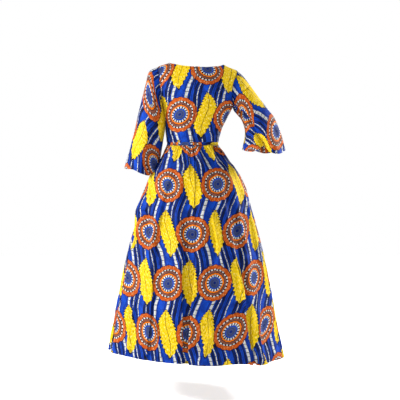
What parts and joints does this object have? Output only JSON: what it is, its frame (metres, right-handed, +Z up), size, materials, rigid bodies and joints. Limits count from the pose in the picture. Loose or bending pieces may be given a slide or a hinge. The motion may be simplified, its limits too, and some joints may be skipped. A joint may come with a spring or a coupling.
{
  "type": "maxi dress",
  "caption": "Worn maxi dress in printed cotton: fitted boat-neck bodice, flared three-quarter sleeves, narrow waistband and long gathered skirt, one arm hanging and one on the hip",
  "frame": {"origin": "between the shoulders at the height of the shoulder line, where the wearer's shoulders hold the dress up", "axes": "+Z up, the front of the dress faces -Y, the wearer's left is +X"},
  "size_m": [0.8215, 0.6434, 1.3604],
  "materials": {
    "bodice_cloth": "wax-printed cotton, royal blue with orange, yellow, white and navy motifs",
    "waistband_cloth": "wax-printed cotton, same cloth as the bodice",
    "skirt_cloth": "wax-printed cotton, same cloth as the bodice",
    "sleeve_cloth": "wax-printed cotton, same cloth as the bodice",
    "button": "small dark domed button"
  },
  "bodies": {
    "root": {"bodice_front": "bodice_cloth", "bodice_back_left": "bodice_cloth", "bodice_back_right": "bodice_cloth", "waistband_front": "waistband_cloth", "waistband_back_left": "waistband_cloth", "waistband_back_right": "waistband_cloth", "skirt_front": "skirt_cloth", "skirt_back_left": "skirt_cloth", "skirt_back_right": "skirt_cloth", "sleeve_left": "sleeve_cloth", "sleeve_right": "sleeve_cloth", "neck_button": "button"}
  },
  "joints": []
}
